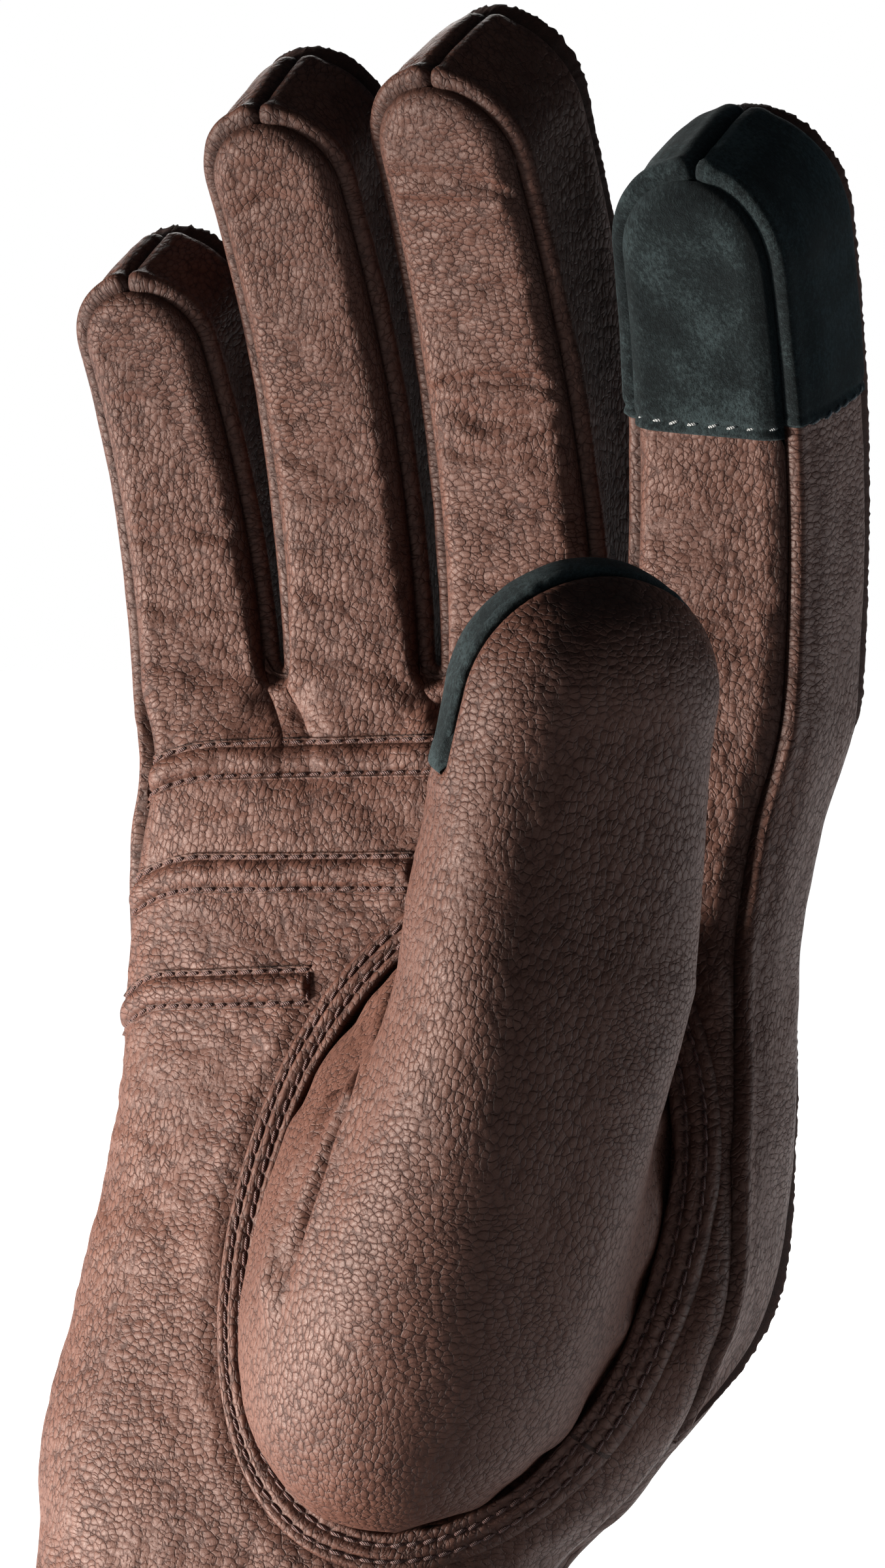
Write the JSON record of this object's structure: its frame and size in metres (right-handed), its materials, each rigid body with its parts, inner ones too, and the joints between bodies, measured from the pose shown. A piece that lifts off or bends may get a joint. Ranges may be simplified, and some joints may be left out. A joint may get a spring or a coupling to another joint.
{
  "type": "glove",
  "caption": "Right-hand leather glove with curled fingers, suede touch patches on index finger and thumb, pleated palm and gathered wrist.",
  "frame": {"origin": "centre of the cuff opening at the height of the cuff rim", "axes": "+Z from the cuff rim to the fingertips, -Y out of the palm, +X towards the thumb and index finger"},
  "size_m": [0.1435, 0.0889, 0.2874],
  "materials": {
    "leather": "matte, fine pebble grain",
    "side_leather": "matte, smoother than the front",
    "suede": "napped, matte",
    "thread": "matte",
    "patch_thread": "slight sheen",
    "lining": "brushed knit",
    "elastic": "woven"
  },
  "bodies": {
    "hand": {"palm_panel": "leather", "back_panel": "leather", "strip_index": "side_leather", "strip_little": "side_leather", "fourchette_index_middle": "side_leather", "fourchette_middle_ring": "side_leather", "fourchette_ring_little": "side_leather", "thumb_base": "leather", "thumb_opening_binding": "side_leather", "thumb_opening_stitching": "thread", "palm_pleats": "leather", "palm_stitching": "thread", "back_points": "leather", "hem": "side_leather", "hem_stitching": "thread", "wrist_elastic": "elastic", "hand_lining": "lining", "finger_lining": "lining"},
    "little_end": {"little_front": "leather", "little_back": "leather", "little_strip_outer": "side_leather", "little_strip_inner": "side_leather", "little_lining": "lining"},
    "ring_end": {"ring_front": "leather", "ring_back": "leather", "ring_strip_outer": "side_leather", "ring_strip_inner": "side_leather", "ring_lining": "lining"},
    "middle_end": {"middle_front": "leather", "middle_back": "leather", "middle_strip_outer": "side_leather", "middle_strip_inner": "side_leather", "middle_lining": "lining"},
    "index_end": {"index_front": "leather", "index_back": "leather", "index_strip_outer": "side_leather", "index_strip_inner": "side_leather", "index_lining": "lining", "index_patch_front": "suede", "index_patch_outer": "suede", "index_patch_inner": "suede", "index_patch_stitching": "patch_thread"},
    "thumb_end": {"thumb_back": "leather", "thumb_side": "leather", "thumb_patch": "suede", "thumb_tip_edge": "suede", "thumb_lining": "lining"}
  },
  "joints": [
    {"name": "little_bend", "type": "hinge", "parent": "hand", "child": "little_end", "pos_m": [-0.01331, -0.00243, 0.21431], "axis": [0.9969, 0, 0.0785], "range_deg": [0, 70], "stiffness_Nm_per_rad": 0.06},
    {"name": "ring_bend", "type": "hinge", "parent": "hand", "child": "ring_end", "pos_m": [0.01342, -0.00538, 0.22612], "axis": [0.999, 0, 0.0436], "range_deg": [0, 70], "stiffness_Nm_per_rad": 0.06},
    {"name": "middle_bend", "type": "hinge", "parent": "hand", "child": "middle_end", "pos_m": [0.04214, -0.00646, 0.22801], "axis": [0.9998, 0, 0.0175], "range_deg": [0, 70], "stiffness_Nm_per_rad": 0.06},
    {"name": "index_bend", "type": "hinge", "parent": "hand", "child": "index_end", "pos_m": [0.07617, -0.00486, 0.22007], "axis": [0.9969, 0, -0.0785], "range_deg": [0, 70], "stiffness_Nm_per_rad": 0.06},
    {"name": "thumb_bend", "type": "hinge", "parent": "hand", "child": "thumb_end", "pos_m": [0.04925, -0.02139, 0.15134], "axis": [-0.6675, -0.7413, 0.0702], "range_deg": [0, 12], "stiffness_Nm_per_rad": 0.06}
  ]
}
